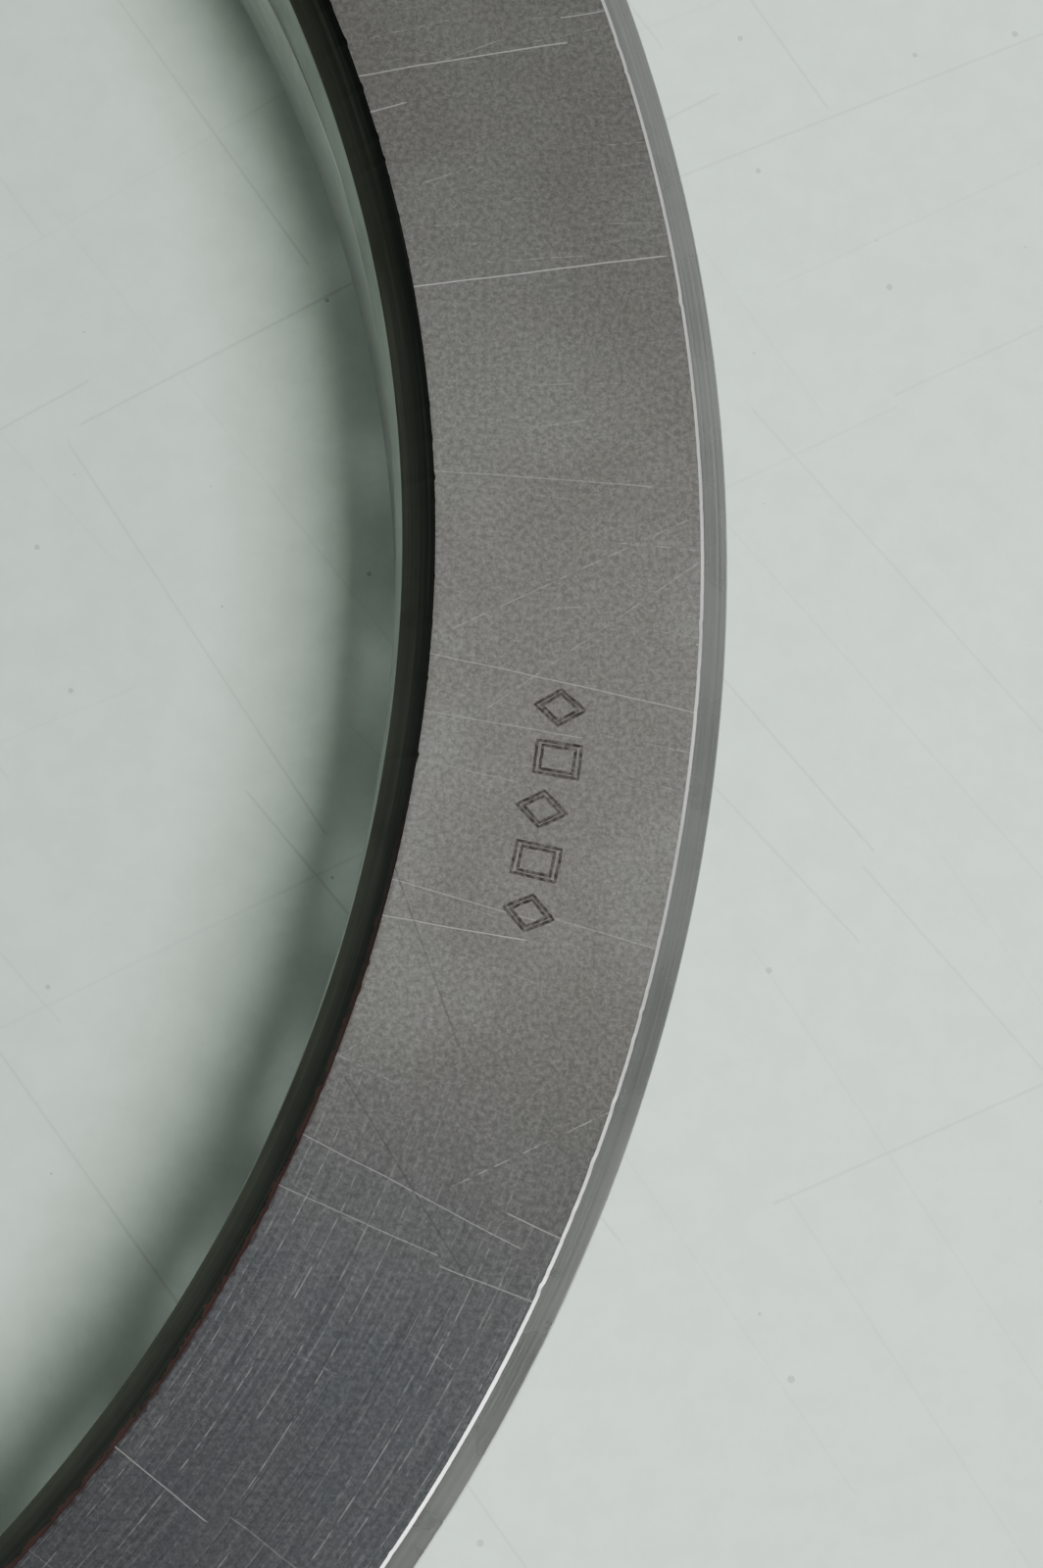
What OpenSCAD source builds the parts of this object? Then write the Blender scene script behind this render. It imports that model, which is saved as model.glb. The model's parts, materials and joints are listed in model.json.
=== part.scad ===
// A self-aligning roller thrust bearing. Barrel rollers in a brass cage run between a housing
// washer with a spherical raceway, below, and a shaft washer with a ground back, on top. The bearing
// axis is Z, and the housing washer's flat back lies on z = 0.
//
// Sections are drawn in the half-plane of radius and height. Points near a roller are given in the
// roller's own directions: along its axis, outwards and upwards, and across it, towards the shaft
// washer.

/* [Bearing] */
// Bore diameter of the shaft washer
bore_d = 220; // [150:1:300]
// Steel left between the bore and the lower end of the shaft raceway
inner_wall = 3.3; // [2.4:0.1:8]
// Steel left between the upper end of the spherical raceway and the housing washer's rim
outer_wall = 3.315; // [2.4:0.005:8]
// Steel left under the lowest point of the rollers
floor_wall = 5.5; // [4:0.1:14]
// Steel left over the highest point of the rollers
top_wall = 6.115; // [4.5:0.005:14]

/* [Rollers] */
// How many rollers
roller_n = 44; // [20:1:53]
// Roller diameter, halfway along
roller_d = 12; // [9:0.1:15]
// Roller length
roller_l = 14; // [10:0.1:20]
// Slope of the roller axes above the horizontal
axis_angle = 45; // [38:0.5:52]
// Radius of a roller's barrel, as a share of the spherical raceway's radius
barrel_share = 0.97; // [0.9:0.01:0.99]
// Radius of the shaft raceway's curve, as a multiple of the barrel's
groove_share = 1.02; // [1:0.01:1.1]
// Chamfer on the roller ends
roller_chamfer = 0.5; // [0.2:0.1:1]
// Radius of the round recess in each roller's large end
recess_r = 2; // [1:0.1:2.4]
// Depth of that recess
recess_h = 0.7; // [0.3:0.1:1.5]

/* [Clearances] */
// Gap between a roller and each raceway
race_gap = 0.2; // [0.1:0.05:0.4]
// Gap between a roller's large end and the guide flange
end_gap = 0.3; // [0.2:0.05:0.6]
// Gap around a roller in its cage pocket
pocket_gap = 0.4; // [0.3:0.05:0.8]
// Gap between the cage and the guide flange above it
cage_gap = 0.85; // [0.4:0.05:1.5]
// Gap between the guide sleeve and its neighbours
sleeve_gap = 0.4; // [0.3:0.05:0.8]

/* [Shaft washer] */
// Radius by which the shaft washer is smaller than the housing washer
shaft_step = 0.5; // [0.2:0.1:2]
// Width of the turned bevel between the bore and the back face
bevel_w = 2.15; // [0.8:0.05:2.6]
// Depth of that bevel
bevel_h = 3.25; // [1:0.05:3.6]
// Length of the ground bore, where the shaft seats
land_h = 5; // [3:0.1:6.5]
// Radius by which the bore opens below the seat
relief = 1.6; // [0.5:0.1:2]
// Width of the outer corner
corner_w = 2.13; // [0.6:0.01:3]
// Depth of the outer corner
corner_h = 0.4; // [0.2:0.05:2.5]
// Width of the guide flange along the rollers' axis
flange_w = 3.6; // [2.6:0.1:6]
// Length of the nose past the lower end of the rollers
nose_over = 0.4; // [0:0.1:1.5]

/* [Housing washer] */
// Bore radius, more than the shaft washer's
housing_step = 7; // [5.5:0.1:9]
// Height of the rim above the upper end of the rollers' contact line
rim_over = 0.5; // [0:0.1:2]
// Chamfer at the foot of the rim
foot_chamfer = 1.5; // [0.5:0.1:2.5]
// Chamfer at the rim's top and at the bore
rim_chamfer = 0.6; // [0.3:0.1:1]

/* [Cage and sleeve] */
// Wall of the cage
cage_t = 3.5; // [2:0.1:4]
// Width of the ring at each end of the cage
cage_ring = 2.6; // [1.5:0.1:4]
// Edge chamfer of the cage
cage_chamfer = 0.4; // [0.2:0.1:0.8]
// Wall of the guide sleeve
sleeve_t = 1; // [0.8:0.1:1.4]
// Height of the guide sleeve
sleeve_h = 8.4; // [6:0.1:9]
// Width of the lip under the cage
lip_w = 2.6; // [1.5:0.1:3.2]

/* [Hidden] */
$fn = 96;
function two_digits(i) = str(i < 10 ? "0" : "", i);
ROLLERS = [for (i = [1 : roller_n]) str("roller_", two_digits(i))];

ca = cos(axis_angle);
sa = sin(axis_angle);
roller_r = roller_d / 2;
half_l = roller_l / 2;
bore_r = bore_d / 2;

// Middle of a roller, and the bearing's outer radius and height around it
pitch_r = bore_r + inner_wall + half_l * ca + roller_r * sa;
pitch_z = floor_wall + half_l * sa + roller_r * ca;
housing_r = pitch_r + half_l * ca + roller_r * sa + outer_wall;
height = pitch_z + half_l * sa + roller_r * ca + top_wall;
shaft_r = housing_r - shaft_step;

// Each roller tapers so that it rolls: its sides meet the bearing axis where its own axis does
taper = atan(roller_r * ca / pitch_r);

// Spherical raceway: its centre is where the lines of contact meet on the bearing axis
contact_r = pitch_r + roller_r * sa;
contact_z = pitch_z - roller_r * ca;
reach = contact_r / sin(axis_angle - taper);
sphere_z = contact_z + reach * cos(axis_angle - taper);
sphere_r = reach + race_gap;
barrel_r = barrel_share * reach;
groove_r = groove_share * barrel_r;

// Roller radius at a place along its axis, and the shaft raceway's distance from the axis there
function bulge(s, radius, top) = top - radius * cos(taper) + sqrt(radius ^ 2 - (s - radius * sin(taper)) ^ 2);
function roller_radius(s) = bulge(s, barrel_r, roller_r);
function race_height(s) = bulge(s, groove_r, roller_r + race_gap);

// A point given along and across the rollers' axis, as radius and height
function at(s, w) = [pitch_r + s * ca - w * sa, pitch_z + s * sa + w * ca];

flange_s = half_l + end_gap;
flange_low = cage_t / 2 + cage_gap;
flange_foot = at(flange_s + flange_w, flange_low);
nose = at(-half_l - nose_over, race_height(-half_l - nose_over));
land_z = height - bevel_h - land_h;
rim_z = at(half_l, -roller_radius(half_l))[1] + rim_over;
housing_bore_r = bore_r + housing_step;
cage_half = half_l + pocket_gap + cage_ring;
sleeve_r = bore_r + relief + sleeve_t;
sleeve_z = nose[1] - sleeve_gap - sleeve_h;

module along_rollers() {
    translate([pitch_r, pitch_z]) rotate(axis_angle) children();
}

module at_roller(i) {
    rotate(360 / roller_n * (i - 1)) translate([pitch_r, 0, pitch_z]) rotate([0, 90 - axis_angle, 0])
        children();
}

module housing_washer() {
    color([0.60, 0.60, 0.58]) rotate_extrude($fn = 180) difference() {
        polygon([
            [housing_bore_r + rim_chamfer, 0],
            [housing_r - foot_chamfer, 0],
            [housing_r, foot_chamfer],
            [housing_r, rim_z - rim_chamfer],
            [housing_r - rim_chamfer, rim_z],
            [housing_bore_r, rim_z],
            [housing_bore_r, rim_chamfer],
        ]);
        translate([0, sphere_z]) circle(sphere_r, $fn = 720);
    }
}

// The space that the rollers sweep, up to the guide flange
module shaft_raceway() {
    intersection() {
        along_rollers() translate([groove_r * sin(taper), roller_r + race_gap - groove_r * cos(taper)])
            circle(groove_r, $fn = 720);
        along_rollers() translate([flange_s - 2 * roller_l, -2 * roller_d])
            square([2 * roller_l, 4 * roller_d]);
    }
}

module shaft_washer() {
    color([0.56, 0.54, 0.53]) rotate_extrude($fn = 180) difference() {
        polygon([
            [bore_r, height - bevel_h],
            [bore_r, land_z],
            [bore_r + relief, nose[1]],
            nose,
            at(flange_s, flange_low),
            flange_foot,
            [shaft_r, flange_foot[1]],
            [shaft_r, height - corner_h],
            [shaft_r - corner_w, height],
            [bore_r + bevel_w, height],
        ]);
        shaft_raceway();
    }
}

module cage_shell() {
    rotate_extrude($fn = 180) along_rollers() polygon([
        [-cage_half + cage_chamfer, -cage_t / 2],
        [cage_half - cage_chamfer, -cage_t / 2],
        [cage_half, -cage_t / 2 + cage_chamfer],
        [cage_half, cage_t / 2 - cage_chamfer],
        [cage_half - cage_chamfer, cage_t / 2],
        [-cage_half + cage_chamfer, cage_t / 2],
        [-cage_half, cage_t / 2 - cage_chamfer],
        [-cage_half, -cage_t / 2 + cage_chamfer],
    ]);
}

module pocket() {
    translate([0, 0, -half_l - pocket_gap]) cylinder(
        h = roller_l + 2 * pocket_gap,
        r1 = roller_radius(-half_l) + pocket_gap,
        r2 = roller_radius(half_l) + pocket_gap
    );
}

module cage() {
    color([0.72, 0.56, 0.26]) difference() {
        cage_shell();
        for (i = [1 : roller_n]) at_roller(i) pocket();
    }
}

// Thin pressed sleeve under the shaft washer's nose; its lip holds the cage up
module guide_sleeve() {
    color([0.45, 0.45, 0.45]) rotate_extrude($fn = 180) polygon([
        [sleeve_r - sleeve_t, sleeve_z],
        [sleeve_r + lip_w, sleeve_z],
        [sleeve_r + lip_w, sleeve_z + sleeve_t],
        [sleeve_r, sleeve_z + sleeve_t],
        [sleeve_r, sleeve_z + sleeve_h],
        [sleeve_r - sleeve_t, sleeve_z + sleeve_h],
    ]);
}

// One barrel roller about its own axis, with its large end up
module roller_blank() {
    low_r = roller_radius(-half_l);
    high_r = roller_radius(half_l);
    c = roller_chamfer;
    rotate_extrude() intersection() {
        translate([roller_r - barrel_r * cos(taper), barrel_r * sin(taper)]) circle(barrel_r, $fn = 720);
        polygon([
            [0, -half_l],
            [low_r - c, -half_l],
            [low_r + c, -half_l + 2 * c],
            [high_r + c, half_l - 2 * c],
            [high_r - c, half_l],
            [recess_r, half_l],
            [recess_r, half_l - recess_h],
            [0, half_l - recess_h],
        ]);
    }
}

module roller(i) {
    color([0.78, 0.78, 0.78]) at_roller(i) roller_blank();
}

housing_washer();
shaft_washer();
cage();
guide_sleeve();
for (i = [1 : roller_n]) roller(i);
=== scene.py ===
"""Looks of a spherical roller thrust bearing that lies on its housing washer, in metres, in the CAD frame."""

import json
import math

import bpy
import numpy as np
from mathutils import Matrix, Vector, noise


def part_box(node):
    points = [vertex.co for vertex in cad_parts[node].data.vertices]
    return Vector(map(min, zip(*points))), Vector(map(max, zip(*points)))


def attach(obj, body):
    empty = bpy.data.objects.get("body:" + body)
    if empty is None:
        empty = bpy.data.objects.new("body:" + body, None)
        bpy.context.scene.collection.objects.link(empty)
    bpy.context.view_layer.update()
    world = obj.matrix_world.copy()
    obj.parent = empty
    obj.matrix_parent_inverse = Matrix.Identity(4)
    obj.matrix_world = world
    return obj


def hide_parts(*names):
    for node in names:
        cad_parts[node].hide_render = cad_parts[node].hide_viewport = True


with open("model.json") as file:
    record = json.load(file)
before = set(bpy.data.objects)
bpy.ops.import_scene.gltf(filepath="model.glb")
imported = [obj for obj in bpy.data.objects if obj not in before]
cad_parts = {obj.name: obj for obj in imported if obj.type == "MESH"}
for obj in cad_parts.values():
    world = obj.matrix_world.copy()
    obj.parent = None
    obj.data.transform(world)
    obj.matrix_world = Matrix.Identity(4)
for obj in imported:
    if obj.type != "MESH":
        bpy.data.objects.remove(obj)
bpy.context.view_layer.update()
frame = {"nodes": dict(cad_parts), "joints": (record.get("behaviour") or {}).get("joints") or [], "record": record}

MM = 0.001
TAU = 2 * math.pi

# ---------------------------------------------------------------- sizes, from the frame and the design
mounts = {m["name"]: m for m in frame["record"]["mounts"]}
joints = {j["name"]: j for j in frame["joints"]}

top_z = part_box("shaft_washer")[1].z
nose_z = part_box("shaft_washer")[0].z
rim_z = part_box("housing_washer")[1].z
bore_r = mounts["shaft_seat"]["dims"]["r_mm"] * MM
land_mid = mounts["shaft_seat"]["pos_m"][2]
land_half = mounts["shaft_seat"]["dims"]["length_mm"] * MM / 2
housing_r = mounts["housing_seat"]["dims"]["r_mm"] * MM
shaft_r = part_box("shaft_washer")[1].x
sphere_z = joints["self_align"]["pos_m"][2]
pitch_r, _, pitch_z = joints["roller_01_spin"]["pos_m"]
slope_cos, _, slope_sin = joints["roller_01_spin"]["axis"]

# Rollers: radius, half length, edges, and the recess in the large end
ROLLER_R = 6 * MM
ROLLER_HALF = 7 * MM
ROLLER_CHAMFER = 0.5 * MM
RECESS_R = 2 * MM
RECESS_H = 0.7 * MM
# A roller's outline stops this far from its axis, which leaves a pinhole too small to see
AXIS_GAP = 0.02 * MM

# Clearances: rollers to raceways, and rollers' large ends to the guide flange
RACE_GAP = 0.2 * MM
END_GAP = 0.3 * MM

# Radius of the barrels' bulge, as a share of the distance from the raceway's centre to their outer side,
# and radius of the shaft raceway's groove, as a share of the barrels'
BARREL_SHARE = 0.97
GROOVE_SHARE = 1.02

# Shaft washer: guide flange, nose, relief under the bore, bevel, outer corner and worn edge of the face
FLANGE_LOW = 2.6 * MM
FLANGE_W = 3.6 * MM
NOSE_OVER = 0.4 * MM
RELIEF = 1.6 * MM
BEVEL_W = 2.15 * MM
CORNER_W = 2.13 * MM
CORNER_H = 0.4 * MM
EDGE_W = 0.25 * MM
EDGE_H = 0.11 * MM
# Two more points on the flat face, this far inside its edges, keep its shading flat
FACE_MARGIN = 0.50 * MM

# Housing washer: how much wider its bore is than the shaft washer's, and its chamfers
HOUSING_STEP = 7 * MM
FOOT_CHAMFER = 1.5 * MM
RIM_CHAMFER = 0.6 * MM

SLEEVE_WALL = 1.0 * MM

# Slope of a roller's side at its middle, and the distance from the raceway's centre to its outer side
taper = math.atan(ROLLER_R * slope_cos / pitch_r)
reach = (pitch_r + ROLLER_R * slope_sin) / math.sin(math.atan2(slope_sin, slope_cos) - taper)
barrel_r = BARREL_SHARE * reach
groove_r = GROOVE_SHARE * barrel_r
sphere_r = reach + RACE_GAP
face_in = bore_r + BEVEL_W
face_out = shaft_r - CORNER_W


def bulge(s, radius, top):
    """Height of a barrel's or groove's curve over the roller axis, at the place s along it."""
    return top - radius * math.cos(taper) + math.sqrt(radius ** 2 - (s - radius * math.sin(taper)) ** 2)


def at(s, w):
    """A point along and across a roller's axis, as radius and height."""
    return (pitch_r + s * slope_cos - w * slope_sin, pitch_z + s * slope_sin + w * slope_cos)


# ---------------------------------------------------------------- meshes
FILLET_STEPS = 5
# A fillet takes up at most this share of either side
FILLET_MOST = 0.45
SHARP_ANGLE = math.radians(35)


def rounded(corners):
    """A closed outline of (point, slot) from corners (radius, height, fillet, slot). Each fillet is a curve
    of short steps."""
    out = []
    count = len(corners)
    for i, (x, y, fillet, slot) in enumerate(corners):
        here = Vector((x, y))
        if fillet <= 0:
            out.append((here, slot))
            continue
        before = Vector(corners[i - 1][:2]) - here
        after = Vector(corners[(i + 1) % count][:2]) - here
        half = before.angle(after) / 2
        cut = min(fillet / math.tan(half), FILLET_MOST * before.length, FILLET_MOST * after.length)
        start = here + before.normalized() * cut
        end = here + after.normalized() * cut
        for k in range(FILLET_STEPS + 1):
            t = k / FILLET_STEPS
            out.append(((1 - t) ** 2 * start + 2 * t * (1 - t) * here + t * t * end, slot))
    return out


def revolve(name, outline, steps, slots, wobble=None):
    """A closed ring mesh around Z. outline is [(point, slot)], and wobble may move a vertex a little."""
    rows = np.array([(p.x, p.y) for p, _ in outline])
    turns = np.arange(steps) * TAU / steps
    radius = np.repeat(rows[:, 0][:, None], steps, 1)
    height = np.repeat(rows[:, 1][:, None], steps, 1)
    if wobble is not None:
        radius, height = wobble(radius, height, turns)
    co = np.stack([radius * np.cos(turns), radius * np.sin(turns), height], 2).reshape(-1, 3)
    n = len(rows)
    i, j = np.meshgrid(np.arange(n), np.arange(steps), indexing="ij")
    nxt, turn = (i + 1) % n, (j + 1) % steps
    quads = np.stack([i * steps + j, i * steps + turn, nxt * steps + turn, nxt * steps + j], 2).reshape(-1, 4)
    mesh = bpy.data.meshes.new(name)
    mesh.from_pydata(co.tolist(), [], quads.tolist())
    mesh.polygons.foreach_set("use_smooth", np.ones(len(quads), bool))
    slot = np.repeat([s for _, s in outline], steps).astype(np.int32)
    mesh.polygons.foreach_set("material_index", slot)
    for m in slots:
        mesh.materials.append(m)
    mesh.update()
    mesh.set_sharp_from_angle(angle=SHARP_ANGLE)
    obj = bpy.data.objects.new(name, mesh)
    bpy.context.scene.collection.objects.link(obj)
    return obj


# ---------------------------------------------------------------- node trees
class Graph:
    """Short calls that build one material's node tree."""

    def __init__(self, name):
        self.material = bpy.data.materials.new(name)
        self.material.use_nodes = True
        self.tree = self.material.node_tree
        self.tree.nodes.clear()
        self.shader = self.tree.nodes.new("ShaderNodeBsdfPrincipled")
        out = self.tree.nodes.new("ShaderNodeOutputMaterial")
        self.tree.links.new(self.shader.outputs[0], out.inputs[0])
        self.place = self.node("ShaderNodeTexCoord").outputs["Object"]

    def node(self, kind, links=None, **settings):
        made = self.tree.nodes.new(kind)
        for key, value in settings.items():
            setattr(made, key, value)
        for key, value in (links or {}).items():
            self.put(made.inputs[key], value)
        return made

    def put(self, socket, value):
        if isinstance(value, bpy.types.NodeSocket):
            self.tree.links.new(value, socket)
        else:
            socket.default_value = value

    def math(self, op, a, b=0.0):
        return self.node("ShaderNodeMath", {0: a, 1: b}, operation=op).outputs[0]

    def plus(self, a, b):
        return self.math("ADD", a, b)

    def minus(self, a, b):
        return self.math("SUBTRACT", a, b)

    def times(self, a, b):
        return self.math("MULTIPLY", a, b)

    def over(self, a, b):
        return self.math("DIVIDE", a, b)

    def larger(self, a, b):
        return self.math("MAXIMUM", a, b)

    def below(self, a, limit):
        """1 where a is under the limit, and 0 elsewhere."""
        return self.math("LESS_THAN", a, limit)

    def span(self, value, low, high, to_low=0.0, to_high=1.0):
        """The value's way from low to high, eased, as a way from to_low to to_high."""
        links = {0: value, 1: low, 2: high, 3: to_low, 4: to_high}
        return self.node("ShaderNodeMapRange", links, interpolation_type="SMOOTHSTEP").outputs[0]

    def noise(self, place, scale, detail=2.0, roughness=0.5, distortion=0.0):
        links = {"Vector": place, "Scale": scale, "Detail": detail, "Roughness": roughness,
                 "Distortion": distortion}
        return self.node("ShaderNodeTexNoise", links).outputs["Fac"]

    def mix(self, fac, a, b, kind="MIX"):
        made = self.node("ShaderNodeMix", data_type="RGBA", blend_type=kind)
        for key, value in ((0, fac), (6, a), (7, b)):
            self.put(made.inputs[key], value)
        return made.outputs[2]

    def vector(self, x, y, z):
        return self.node("ShaderNodeCombineXYZ", {0: x, 1: y, 2: z}).outputs[0]

    def parts(self, vector):
        return self.node("ShaderNodeSeparateXYZ", {0: vector}).outputs

    def channels(self, color):
        return self.node("ShaderNodeSeparateColor", {0: color}).outputs

    def polar(self):
        """Radius, angle in degrees, and the unit direction's X and Y."""
        x, y, _ = self.parts(self.place)
        radius = self.math("SQRT", self.plus(self.times(x, x), self.times(y, y)))
        angle = self.times(self.math("ARCTAN2", y, x), 360 / TAU)
        return radius, angle, self.over(x, radius), self.over(y, radius)

    def ring_lines(self, across, east, north, fineness, breaks, roughness=0.6):
        """Tool marks round the bearing axis. fineness is the pattern's scale across them, and breaks is its
        scale along them."""
        place = self.vector(self.times(across, fineness), self.times(east, breaks), self.times(north, breaks))
        return self.noise(place, 1.0, 3.0, roughness)

    def bump(self, height, distance, strength=1.0):
        links = {"Height": height, "Distance": distance, "Strength": strength}
        return self.node("ShaderNodeBump", links).outputs[0]

    def finish(self, color, roughness, normal=None, metallic=1.0):
        self.put(self.shader.inputs["Base Color"], color)
        self.put(self.shader.inputs["Roughness"], roughness)
        self.put(self.shader.inputs["Metallic"], metallic)
        if normal is not None:
            self.put(self.shader.inputs["Normal"], normal)
        return self.material


def straight(graph, turn):
    """Places along and across one direction, in metres."""
    turned = graph.node("ShaderNodeMapping", {"Vector": graph.place, "Rotation": (0.0, 0.0, turn)}).outputs[0]
    along, across, _ = graph.parts(turned)
    return along, across


def hairlines(graph, places, length, gap, width, share, seed):
    """A scatter of hairlines, each across one cell of a stretched pattern and leaning a little. places is
    the pair along and across, in metres. The length, the gap between neighbours and the width are in mm,
    and share is the part of the cells that has a line."""
    along = graph.plus(graph.over(places[0], length * MM), seed)
    across = graph.minus(graph.over(places[1], gap * MM), seed)
    cell = graph.node("ShaderNodeTexVoronoi", {"Vector": graph.vector(along, across, 0.0), "Scale": 1.0},
                      voronoi_dimensions="2D", feature="F1")
    middle = graph.parts(cell.outputs["Position"])
    chance = graph.channels(cell.outputs["Color"])
    lean = graph.times(graph.minus(chance[1], 0.5), graph.minus(along, middle[0]))
    off = graph.math("ABSOLUTE", graph.minus(graph.minus(across, middle[1]), lean))
    line = graph.span(off, 0.0, width / gap, 1.0, 0.0)
    strength = graph.times(graph.below(chance[0], share), graph.span(chance[2], 0.0, 1.0, 0.3, 1.0))
    return graph.times(line, strength)


# ---------------------------------------------------------------- materials
# Angles round the ring, in degrees: the residue is full up to the first and ends at the second
RESIDUE_FULL = -30.0
RESIDUE_END = -4.0
# The strong lapping, and the painted reflection of dark surroundings that goes with it, starts at the first, is
# full between the next two and ends at the last
LAPPING_AND_REFLECTION_START = -120.0
LAPPING_AND_REFLECTION_FULL_FROM = -60.0
LAPPING_AND_REFLECTION_FULL_TO = -30.0
LAPPING_AND_REFLECTION_END = -17.0

BENCH_DARK = (0.565, 0.700, 0.590, 1)
BENCH_LIGHT = (0.605, 0.740, 0.630, 1)


def residue(graph, radius, angle, low, high):
    """Dried red-brown residue between two radii, from the ring's middle round to its far side."""
    crumbs = graph.noise(graph.place, 900.0, 3.0, 0.7)
    ragged = graph.plus(radius, graph.times(graph.minus(crumbs, 0.5), 1.2 * MM))
    band = graph.times(graph.span(ragged, low, low + 0.1 * MM),
                       graph.span(ragged, high, high + 0.2 * MM, 1.0, 0.0))
    return graph.times(band, graph.span(angle, RESIDUE_FULL, RESIDUE_END, 1.0, 0.0))


def face_scratches(g, radius, arc, lapping_and_dark_reflection):
    """Strengths of the face's bright and dark scratches."""
    shaken = g.plus(arc, g.times(g.noise(g.place, 240.0, 1.0), 0.14 * MM))
    whole = hairlines(g, (radius, shaken), length=30.0, gap=6.5, width=0.085, share=0.75, seed=0.57)
    short = hairlines(g, (radius, shaken), length=7.0, gap=1.9, width=0.06, share=0.22, seed=0.67)
    streaks = hairlines(g, (arc, radius), length=34.0, gap=1.3, width=0.08, share=0.8, seed=0.23)
    strays = hairlines(g, straight(g, -0.5), length=24.0, gap=9.0, width=0.08, share=0.35, seed=0.83)
    faint = g.larger(g.times(streaks, g.times(lapping_and_dark_reflection, 0.8)), g.times(strays, 0.6))
    faint = g.larger(g.times(short, 0.45), faint)
    broken = g.span(g.noise(g.place, 900.0, 2.0), 0.38, 0.62)
    dark = hairlines(g, straight(g, 1.1), length=26.0, gap=15.0, width=0.11, share=0.35, seed=0.45)
    return g.larger(whole, g.times(faint, broken)), g.times(dark, 0.5)


def lapped_face():
    """The shaft washer's flat back: matt ground steel with a fine speckle, lapping lines and scratches, and a span
    round the ring painted darker and bluer as a reflection of dark surroundings.
    """
    dull = (0.262, 0.258, 0.236, 1)
    rubbed = (0.292, 0.294, 0.270, 1)
    # Painted reflection: the darker, bluer colour laid over the span where the lapping shows most
    painted_dark_reflection_blue = (0.228, 0.242, 0.258, 1)
    blotched = (0.300, 0.282, 0.280, 1)
    crest = (0.46, 0.47, 0.48, 1)
    valley = (0.10, 0.105, 0.115, 1)
    dried = (0.110, 0.055, 0.055, 1)
    bare_cut = (0.66, 0.66, 0.63, 1)
    dark_cut = (0.12, 0.12, 0.115, 1)

    g = Graph("lapped_face")
    radius, angle, east, north = g.polar()
    arc = g.times(angle, face_in * TAU / 360)
    lines = g.ring_lines(radius, east, north, 4600.0, 11.0, 0.65)
    patches = g.noise(g.place, 45.0, 3.0, 0.6, 0.4)
    blotches = g.noise(g.place, 190.0, 4.0, 0.7, 0.3)
    speckle = g.noise(g.place, 2300.0, 3.0, 0.7)
    grain = g.noise(g.place, 5200.0, 2.0, 0.6)

    # Where the lapping shows most, the face is darker and bluer. This darker, bluer colour is a painted reflection
    # of dark surroundings, while the lapping lines are the steel's own.
    lapping_and_dark_reflection = g.times(g.span(angle, LAPPING_AND_REFLECTION_FULL_TO, LAPPING_AND_REFLECTION_END, 1.0, 0.0),
                     g.span(angle, LAPPING_AND_REFLECTION_START, LAPPING_AND_REFLECTION_FULL_FROM, 0.0, 1.0))
    color = g.mix(g.span(patches, 0.42, 0.62), dull, rubbed)
    color = g.mix(g.times(lapping_and_dark_reflection, 0.9), color, painted_dark_reflection_blue)
    color = g.mix(g.span(blotches, 0.35, 0.7, 0.0, 0.30), color, blotched)
    crests = g.times(g.span(lines, 0.52, 0.74), g.span(lapping_and_dark_reflection, 0.0, 1.0, 0.06, 0.42))
    valleys = g.times(g.span(lines, 0.48, 0.34), g.span(lapping_and_dark_reflection, 0.0, 1.0, 0.05, 0.30))
    color = g.mix(crests, color, crest)
    color = g.mix(valleys, color, valley)
    speck = g.times(g.span(speckle, 0.32, 0.68, 0.80, 1.18), g.span(grain, 0.3, 0.7, 0.90, 1.10))
    grey = g.node("ShaderNodeCombineColor", {0: speck, 1: speck, 2: speck}).outputs[0]
    color = g.mix(1.0, color, grey, "MULTIPLY")
    crust = residue(g, radius, angle, face_in - MM, face_in + 0.05 * MM)
    color = g.mix(g.times(crust, 0.6), color, dried)

    bright, dark = face_scratches(g, radius, arc, lapping_and_dark_reflection)
    color = g.mix(bright, color, bare_cut)
    color = g.mix(dark, color, dark_cut)
    height = g.plus(g.times(lines, g.times(lapping_and_dark_reflection, 0.5)), g.times(speckle, 0.6))
    height = g.minus(height, g.larger(bright, dark))
    return g.finish(color, g.span(patches, 0.3, 0.7, 0.27, 0.23), g.bump(height, 0.012 * MM, 0.4))


def turned_bevel():
    """The dark turned bevel: blackest beside the face, browner towards the bore, residue on its top."""
    brown = (0.030, 0.028, 0.023, 1)
    black = (0.004, 0.004, 0.004, 1)
    line_grey = (0.10, 0.098, 0.085, 1)
    stained = (0.018, 0.014, 0.011, 1)
    dried = (0.100, 0.032, 0.034, 1)

    g = Graph("dark_turned_bevel")
    radius, angle, east, north = g.polar()
    lines = g.ring_lines(radius, east, north, 5200.0, 4.0)
    stain = g.noise(g.place, 110.0, 4.0, 0.65, 0.5)
    color = g.mix(g.span(radius, bore_r, face_in), brown, black)
    color = g.mix(g.span(lines, 0.45, 0.75, 0.0, 0.22), color, line_grey)
    color = g.mix(g.span(stain, 0.5, 0.75, 0.0, 0.5), color, stained)
    crust = residue(g, radius, angle, face_in - 0.30 * MM, face_in + MM)
    color = g.mix(g.times(crust, 0.6), color, dried)
    return g.finish(color, g.span(stain, 0.3, 0.7, 0.38, 0.48), g.bump(lines, 0.02 * MM, 0.6))


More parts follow.
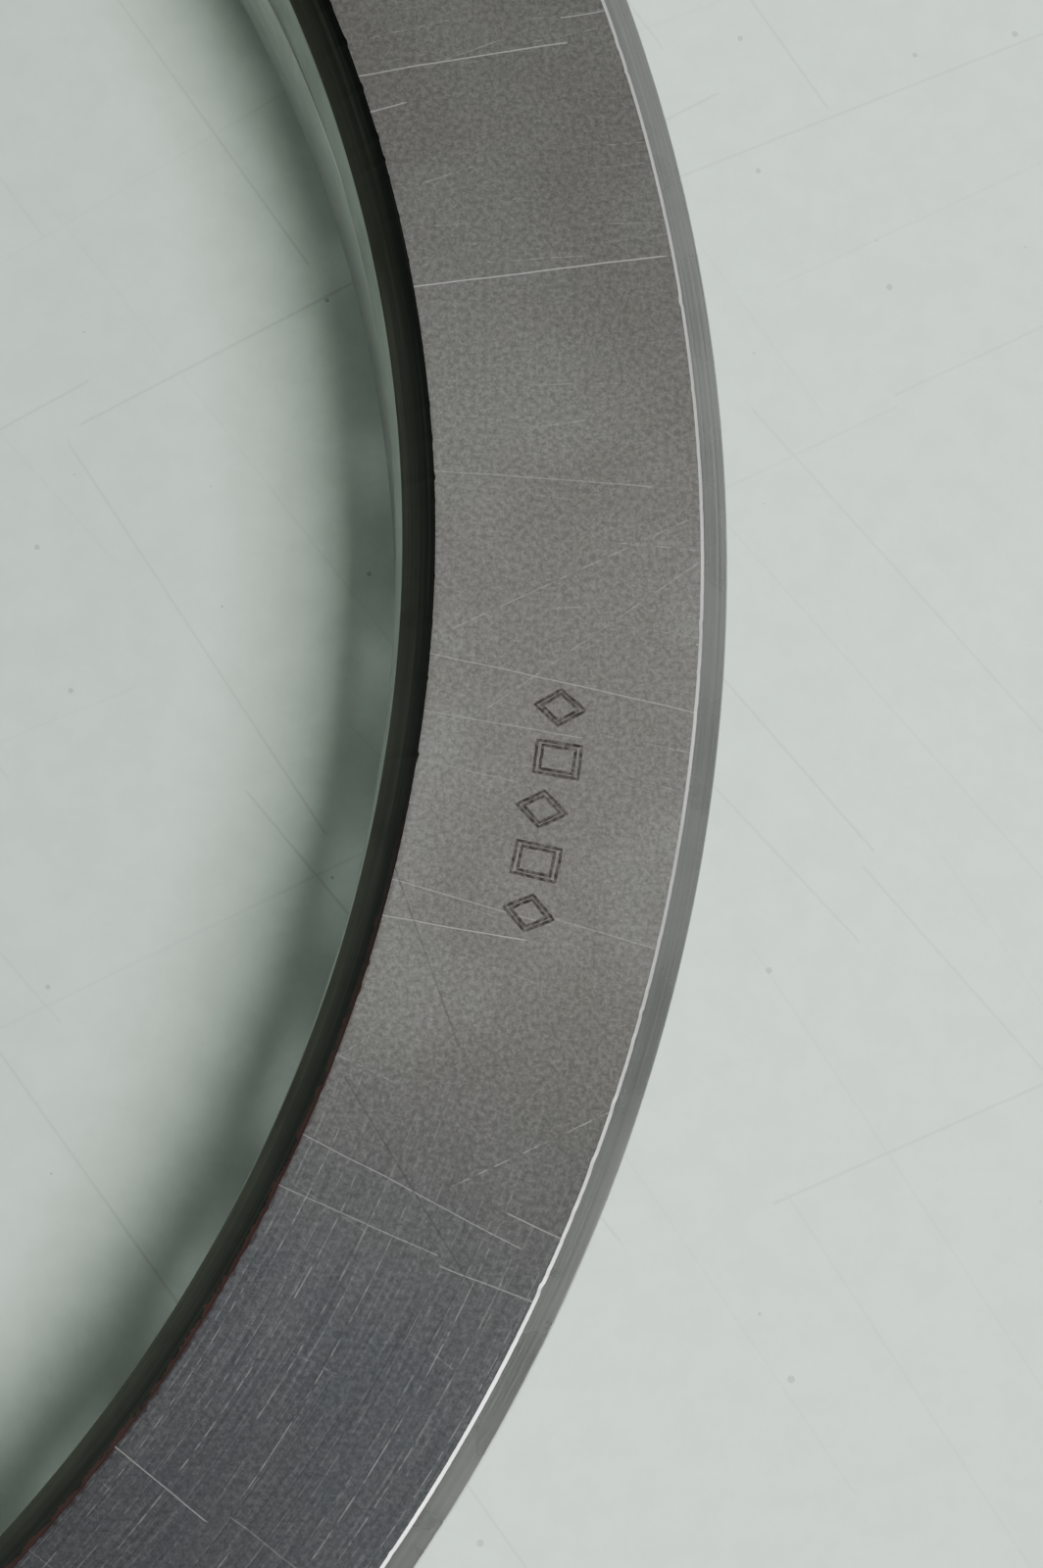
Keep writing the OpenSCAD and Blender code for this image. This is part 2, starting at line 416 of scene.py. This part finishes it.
def turned_steel(name, base, line_color, rough, fineness=4200.0, depth=0.02):
    """Turned or ground steel, with fine lines around the bearing axis. depth is in mm."""
    g = Graph(name)
    radius, _, east, north = g.polar()
    lines = g.ring_lines(g.plus(radius, g.parts(g.place)[2]), east, north, fineness, 4.0)
    stain = g.noise(g.place, 90.0, 4.0, 0.65, 0.5)
    grain = g.noise(g.place, 3800.0, 2.0, 0.6)
    color = g.mix(g.span(lines, 0.32, 0.68), base, line_color)
    color = g.mix(g.span(stain, 0.45, 0.75, 0.0, 0.35), color, [0.6 * c for c in base[:3]] + [1])
    color = g.mix(g.span(grain, 0.3, 0.7, 0.0, 0.16), color, line_color)
    roughness = g.span(stain, 0.3, 0.7, rough, rough + 0.08)
    height = g.plus(lines, g.times(grain, 0.4))
    return g.finish(color, roughness, g.bump(height, depth * MM, 0.6))


def brass():
    """Machined brass of the cage, slightly dull."""
    groove = (0.50, 0.34, 0.12, 1)
    ridge = (0.72, 0.53, 0.23, 1)
    tarnish = (0.33, 0.21, 0.085, 1)

    g = Graph("machined_brass")
    radius, _, east, north = g.polar()
    lines = g.ring_lines(g.plus(radius, g.parts(g.place)[2]), east, north, 3200.0, 3.0)
    stain = g.noise(g.place, 120.0, 4.0, 0.6, 0.4)
    color = g.mix(g.span(lines, 0.3, 0.7), groove, ridge)
    color = g.mix(g.span(stain, 0.5, 0.75, 0.0, 0.6), color, tarnish)
    return g.finish(color, g.span(stain, 0.3, 0.7, 0.24, 0.38), g.bump(lines, 0.02 * MM, 0.5))


def etched():
    """Dark oxide left by an electric etching pen."""
    g = Graph("etched_oxide")
    blot = g.noise(g.place, 2600.0, 3.0, 0.7)
    color = g.mix(g.span(blot, 0.35, 0.7), (0.040, 0.034, 0.030, 1), (0.17, 0.16, 0.15, 1))
    return g.finish(color, g.span(blot, 0.3, 0.7, 0.45, 0.7), g.bump(blot, 0.01 * MM), 0.7)


def bench():
    """A plain pale floor with a soft mottle, small specks and faint rubbed marks."""
    mottled = (0.44, 0.54, 0.45, 1)
    rubbed = (0.37, 0.38, 0.34, 1)
    crumb = (0.19, 0.20, 0.17, 1)

    g = Graph("pale_bench")
    cloud = g.noise(g.place, 9.0, 3.0, 0.55)
    mottle = g.noise(g.place, 260.0, 4.0, 0.7)
    color = g.mix(g.span(cloud, 0.3, 0.7), BENCH_DARK, BENCH_LIGHT)
    color = g.mix(g.span(mottle, 0.35, 0.65, 0.0, 0.30), color, mottled)
    rub = g.larger(hairlines(g, straight(g, 0.9), length=45.0, gap=9.0, width=0.20, share=0.5, seed=0.21),
                   hairlines(g, straight(g, -0.5), length=60.0, gap=13.0, width=0.22, share=0.5, seed=0.37))
    color = g.mix(g.times(rub, 0.45), color, rubbed)
    cell = g.node("ShaderNodeTexVoronoi", {"Vector": g.place, "Scale": 85.0}, voronoi_dimensions="2D")
    chance = g.channels(cell.outputs["Color"])
    inside = g.below(cell.outputs["Distance"], g.span(chance[1], 0.0, 1.0, 0.008, 0.028))
    speck = g.times(inside, g.below(chance[0], 0.4))
    color = g.mix(g.times(speck, 0.5), color, crumb)
    return g.finish(color, g.span(cloud, 0.3, 0.7, 0.5, 0.62), None, 0.0)


face_steel = lapped_face()
bevel_steel = turned_bevel()
# The bores' steel is near-black: this is painted shade for the shade inside the bores, laid over ground steel with
# its own fine lines
bore_steel_painted_shade = turned_steel("ground_bore_painted_shade", (0.045, 0.050, 0.045, 1), (0.09, 0.095, 0.085, 1), 0.34)
corner_steel = turned_steel("ground_corner", (0.40, 0.42, 0.395, 1), (0.49, 0.51, 0.48, 1), 0.25, 5200.0)
edge_steel = turned_steel("worn_edge", (0.62, 0.63, 0.61, 1), (0.85, 0.85, 0.83, 1), 0.26, 5200.0)
rim_steel = turned_steel("ground_rim", (0.30, 0.30, 0.29, 1), (0.42, 0.42, 0.40, 1), 0.25)
race_steel = turned_steel("polished_raceway", (0.46, 0.45, 0.43, 1), (0.58, 0.57, 0.55, 1), 0.14,
                          5200.0, 0.008)
roller_steel = turned_steel("polished_roller", (0.52, 0.52, 0.51, 1), (0.62, 0.62, 0.61, 1), 0.12,
                            2600.0, 0.005)
sleeve_steel = turned_steel("pressed_sheet", (0.24, 0.24, 0.235, 1), (0.31, 0.31, 0.30, 1), 0.36)
cage_brass = brass()
etch_oxide = etched()


# ---------------------------------------------------------------- shaft washer
# The face's edges: how deep the nicks go, how high the swing that makes one, and the ripple all along
NICK_DEPTH = 0.35 * MM
NICK_LEVEL = 0.30
NICK_SCALE = 130
RIPPLE = 0.012 * MM
RIPPLE_SCALE = 900
# They move the points down to this far below the face, and up to this far onto it
NICK_LOW = 0.3 * MM
NICK_ON = 0.2 * MM


def around(turns, scale, height):
    """A smooth random value for each angle, which closes on itself round the ring."""
    return np.array([noise.noise(Vector((scale * math.cos(t), scale * math.sin(t), height))) for t in turns])


def nicks(radius, height, turns):
    """Small nicks and a slight waviness along the face's two edges, where handling has dented them."""
    deep = np.clip(around(turns, NICK_SCALE, 3.1) - NICK_LEVEL, 0, None) * NICK_DEPTH
    ripple = RIPPLE * around(turns, RIPPLE_SCALE, 7.7)
    at_top = height > top_z - NICK_LOW
    inner = at_top & (radius < face_in + NICK_ON)
    outer = at_top & (radius > face_out - NICK_ON)
    return radius + inner * (deep + ripple) - outer * (0.6 * deep[::-1] + ripple), height


def shaft_raceway(low_s, high_s, steps):
    """Points along the shaft raceway from the nose to the guide flange."""
    places = [low_s + (high_s - low_s) * k / steps for k in range(steps + 1)]
    return [at(s, bulge(s, groove_r, ROLLER_R + RACE_GAP)) for s in places]


def shaft_washer():
    low_s = -ROLLER_HALF - NOSE_OVER
    high_s = ROLLER_HALF + END_GAP
    foot = at(high_s + FLANGE_W, FLANGE_LOW)
    BEVEL, BORE, RACE, BACK, RIM, CORNER, EDGE, FACE = range(8)
    corners = [
        (bore_r, land_mid + land_half, 0.12 * MM, BORE),
        (bore_r, land_mid - land_half, 0.1 * MM, BORE),
        (bore_r + RELIEF, nose_z, 0.1 * MM, BORE),
    ]
    corners += [(r, z, 0.0, RACE) for r, z in shaft_raceway(low_s, high_s, 20)]
    corners += [
        (*at(high_s, FLANGE_LOW), 0.2 * MM, BACK),
        (*foot, 0.3 * MM, BACK),
        (shaft_r, foot[1], 0.3 * MM, RIM),
        (shaft_r, top_z - CORNER_H, 0.15 * MM, CORNER),
        (face_out + EDGE_W, top_z - EDGE_H, 0.06 * MM, EDGE),
        (face_out, top_z, 0.03 * MM, FACE),
        (face_out - FACE_MARGIN, top_z, 0.0, FACE),
        (face_in + FACE_MARGIN, top_z, 0.0, FACE),
        (face_in, top_z, 0.05 * MM, BEVEL),
    ]
    slots = [bevel_steel, bore_steel_painted_shade, race_steel, rim_steel, rim_steel, corner_steel, edge_steel, face_steel]
    piece = revolve("shaft_washer_ground", rounded(corners), 2400, slots, nicks)
    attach(piece, "shaft")
    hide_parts("shaft_washer")


# ---------------------------------------------------------------- housing washer, sleeve, rollers and cage
def housing_washer():
    bore = bore_r + HOUSING_STEP
    low = math.asin(bore / sphere_r)
    high = math.acos((sphere_z - rim_z) / sphere_r)
    RIM, RACE, BORE, BASE = range(4)
    corners = [
        (housing_r - FOOT_CHAMFER, 0.0, 0.2 * MM, RIM),
        (housing_r, FOOT_CHAMFER, 0.2 * MM, RIM),
        (housing_r, rim_z - RIM_CHAMFER, 0.15 * MM, RIM),
        (housing_r - RIM_CHAMFER, rim_z, 0.15 * MM, RIM),
    ]
    corners += [(sphere_r * math.sin(t), sphere_z - sphere_r * math.cos(t), 0.0, RACE)
                for t in np.linspace(high, low, 40)]
    corners += [
        (bore, RIM_CHAMFER, 0.15 * MM, BORE),
        (bore + RIM_CHAMFER, 0.0, 0.15 * MM, BASE),
    ]
    slots = [rim_steel, race_steel, bore_steel_painted_shade, rim_steel]
    piece = revolve("housing_washer_ground", rounded(corners), 1080, slots)
    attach(piece, "housing")
    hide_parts("housing_washer")


def guide_sleeve():
    """A thin ring of L section, pressed from sheet."""
    low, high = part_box("guide_sleeve")
    inner = bore_r + RELIEF
    corners = [
        (inner, low.z, 0.5 * MM, 0),
        (high.x, low.z, 0.3 * MM, 0),
        (high.x, low.z + SLEEVE_WALL, 0.3 * MM, 0),
        (inner + SLEEVE_WALL, low.z + SLEEVE_WALL, 0.3 * MM, 0),
        (inner + SLEEVE_WALL, high.z, 0.25 * MM, 0),
        (inner, high.z, 0.25 * MM, 0),
    ]
    piece = revolve("guide_sleeve_pressed", rounded(corners), 720, [sleeve_steel])
    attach(piece, "carrier")
    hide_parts("guide_sleeve")


def roller_outline():
    """Half section of a roller about its own axis, with rounded end edges and a recess in the large end."""
    places = np.linspace(-ROLLER_HALF + ROLLER_CHAMFER, ROLLER_HALF - ROLLER_CHAMFER, 24)
    small_r = bulge(-ROLLER_HALF, barrel_r, ROLLER_R)
    large_r = bulge(ROLLER_HALF, barrel_r, ROLLER_R)
    corners = [
        (AXIS_GAP, -ROLLER_HALF, 0.0, 0),
        (small_r - ROLLER_CHAMFER, -ROLLER_HALF, 0.25 * MM, 0),
    ]
    corners += [(bulge(s, barrel_r, ROLLER_R), s, 0.0, 0) for s in places]
    corners += [
        (large_r - ROLLER_CHAMFER, ROLLER_HALF, 0.25 * MM, 0),
        (RECESS_R, ROLLER_HALF, 0.12 * MM, 0),
        (RECESS_R, ROLLER_HALF - RECESS_H, 0.3 * MM, 0),
        (AXIS_GAP, ROLLER_HALF - RECESS_H, 0.0, 0),
    ]
    return rounded(corners)


def rollers():
    """One detailed roller mesh, copied into each roller's place."""
    pattern = revolve("roller_pattern", roller_outline(), 72, [roller_steel])
    for name in sorted(n for n in frame["nodes"] if n.startswith("roller_")):
        joint = joints[name + "_spin"]
        mesh = pattern.data.copy()
        mesh.name = name + "_ground"
        turn = Vector((0, 0, 1)).rotation_difference(Vector(joint["axis"])).to_matrix().to_4x4()
        mesh.transform(Matrix.Translation(joint["pos_m"]) @ turn)
        piece = bpy.data.objects.new(name + "_ground", mesh)
        bpy.context.scene.collection.objects.link(piece)
        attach(piece, name)
        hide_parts(name)
    bpy.data.objects.remove(pattern)


def finish_cage():
    """The cage keeps its CAD mesh, in brass."""
    cage = frame["nodes"]["cage"]
    cage.data.materials.clear()
    cage.data.materials.append(cage_brass)


# ---------------------------------------------------------------- plain etched mark
MARK_COUNT = 5
# Angle of the first shape and the step to the next, in degrees
MARK_FIRST = -6.0
MARK_STEP = -1.85
# Size of one shape across and around the ring, how far the row sways, and its height over the face
MARK_TALL = 3.8 * MM
MARK_WIDE = 2.8 * MM
MARK_SWAY = 0.35 * MM
MARK_LIFT = 0.008 * MM
# How much further a square's corners reach than a diamond's, which evens out their looks
SQUARE_GROW = 1.25
# The two strokes of a shape, as shares of its size
STROKES = (1.0, 0.74)
PEN_W = 0.24 * MM
# How much the hand shook, how often, and the short steps of one side
SHAKE = 0.03
SHAKE_SCALE = 1500
SIDE_STEPS = 8


def stroke(points, width):
    """Quads of one closed pen stroke: a flat strip of the given width along the points."""
    count = len(points)
    left, right = [], []
    for i, here in enumerate(points):
        side = (points[(i + 1) % count] - points[i - 1]).normalized().orthogonal() * width / 2
        left.append(here + side)
        right.append(here - side)
    return [(left[i], left[(i + 1) % count], right[(i + 1) % count], right[i]) for i in range(count)]


def shaky_shape(k, share):
    """Points of the row's shape k at a share of its size: a diamond if k is even, a square if it is odd."""
    square = k % 2 == 1
    turn = math.pi / 4 if square else 0.0
    grow = SQUARE_GROW if square else 1.0
    corners = [Vector((MARK_TALL / 2 * share * grow * math.cos(turn + q * TAU / 4),
                       MARK_WIDE / 2 * share * grow * math.sin(turn + q * TAU / 4))) for q in range(4)]
    points = []
    for q in range(4):
        for t in range(SIDE_STEPS):
            p = corners[q].lerp(corners[(q + 1) % 4], t / SIDE_STEPS)
            swing = noise.noise(Vector((p.x * SHAKE_SCALE, p.y * SHAKE_SCALE, 5.0 * k + 11 * share)))
            points.append(p * (1 + SHAKE * swing))
    return points


def etched_mark():
    """A row of plain diamonds and squares in double pen strokes. It stands where parts are numbered by
    hand, and spells nothing."""
    middle_r = (face_in + face_out) / 2
    verts, faces = [], []
    for k in range(MARK_COUNT):
        angle = math.radians(MARK_FIRST + MARK_STEP * k)
        centre = middle_r + MARK_SWAY * math.sin(2.1 * k)
        for share in STROKES:
            for quad in stroke(shaky_shape(k, share), PEN_W):
                faces.append(tuple(range(len(verts), len(verts) + 4)))
                for p in quad:
                    r = centre + p.x
                    t = angle + p.y / middle_r
                    verts.append((r * math.cos(t), r * math.sin(t), top_z + MARK_LIFT))
    mesh = bpy.data.meshes.new("etched_mark")
    mesh.from_pydata(verts, [], faces)
    mesh.materials.append(etch_oxide)
    mesh.update()
    piece = bpy.data.objects.new("etched_mark", mesh)
    bpy.context.scene.collection.objects.link(piece)
    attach(piece, "shaft")


# ---------------------------------------------------------------- stage
# Where the camera looks and stands, from the middle of the ring's top, in its outer radii
TARGET = (0.8825, -0.139)
CAMERA = (0.6125, -0.579, 2.071)
LENS = 88.8
SENSOR = 36

FLOOR_SIZE = 12.0
SURROUND = (0.97, 1.0, 0.99, 1)
SURROUND_POWER = 0.20

# Large panels low around the part: their count, slope, distance, size and power
PANELS = 8
PANEL_SLOPE = 2.6
PANEL_FAR = 2.2
PANEL_SIZE = (1.7, 1.1)
PANEL_POWER = 3.4

target_point = Vector((TARGET[0] * shaft_r, TARGET[1] * shaft_r, top_z))


def point_at(obj, target, up=(0, 1, 0)):
    """Turns a camera or light to look along -Z at the target, with the given direction upwards."""
    back = (obj.location - Vector(target)).normalized()
    right = Vector(up).cross(back).normalized()
    turn = Matrix((right, back.cross(right), back)).transposed().to_4x4()
    obj.matrix_world = Matrix.Translation(obj.location) @ turn


def softbox(name, direction, distance, size, power, glossy=True, diffuse=True):
    """A rectangular soft light aimed at the seen part of the ring. direction gives its X and Y slopes from
    there. Without glossy it isn't mirrored in the steel, and without diffuse it is only mirrored."""
    light = bpy.data.lights.new(name, "AREA")
    light.shape = "RECTANGLE"
    light.size, light.size_y = size
    light.energy = power
    obj = bpy.data.objects.new(name, light)
    bpy.context.scene.collection.objects.link(obj)
    obj.location = target_point + Vector((*direction, 1)).normalized() * distance
    point_at(obj, target_point)
    obj.visible_glossy = glossy
    obj.visible_diffuse = diffuse
    obj.visible_camera = False


def camera():
    """A long lens held over the bore, at the photograph's angle."""
    data = bpy.data.cameras.new("camera")
    data.sensor_fit = "AUTO"
    data.sensor_width = SENSOR
    data.lens = LENS
    obj = bpy.data.objects.new("camera", data)
    bpy.context.scene.collection.objects.link(obj)
    obj.location = (CAMERA[0] * shaft_r, CAMERA[1] * shaft_r, top_z + CAMERA[2] * shaft_r)
    point_at(obj, target_point)
    data.clip_start = 0.01
    bpy.context.scene.camera = obj


def lights():
    """Small boxes that the steel mirrors, large ones that light the floor, and low panels all around."""
    softbox("face_light", (0.20, 0.21), 1.2, (0.48, 0.24), 0.35, diffuse=False)
    softbox("upper_light", (0.20, 0.52), 1.2, (0.60, 0.42), 0.23, diffuse=False)
    softbox("low_light", (0.19, -0.11), 1.2, (0.20, 0.16), 0.10, diffuse=False)
    softbox("floor_light", (0.26, -0.22), 1.6, (0.66, 0.66), 36.0, glossy=False)
    softbox("edge_light", (1.20, -0.66), 1.0, (0.30, 0.30), 2.2, diffuse=False)
    softbox("upper_edge_light", (1.2, 0.50), 1.0, (0.34, 0.34), 0.35, diffuse=False)
    softbox("right_light", (1.9, -1.0), 1.5, (0.8, 0.8), 27.0, glossy=False)
    softbox("side_light", (-1.1, -1.6), 1.6, (0.8, 0.8), 2.0)
    for k in range(PANELS):
        slopes = [PANEL_SLOPE * math.cos(TAU * k / PANELS), PANEL_SLOPE * math.sin(TAU * k / PANELS)]
        softbox(f"low_panel_{k + 1}", slopes, PANEL_FAR, PANEL_SIZE, PANEL_POWER, diffuse=False)


def stage():
    """Pale floor, an even pale surround, and the lights."""
    bpy.ops.mesh.primitive_plane_add(size=FLOOR_SIZE, location=(0, 0, 0))
    floor = bpy.context.object
    floor.name = "floor"
    floor.data.materials.append(bench())
    world = bpy.data.worlds.new("world")
    bpy.context.scene.world = world
    world.use_nodes = True
    world.node_tree.nodes["Background"].inputs[0].default_value = SURROUND
    world.node_tree.nodes["Background"].inputs[1].default_value = SURROUND_POWER
    lights()


camera()
stage()
housing_washer()
guide_sleeve()
rollers()
shaft_washer()
etched_mark()
finish_cage()
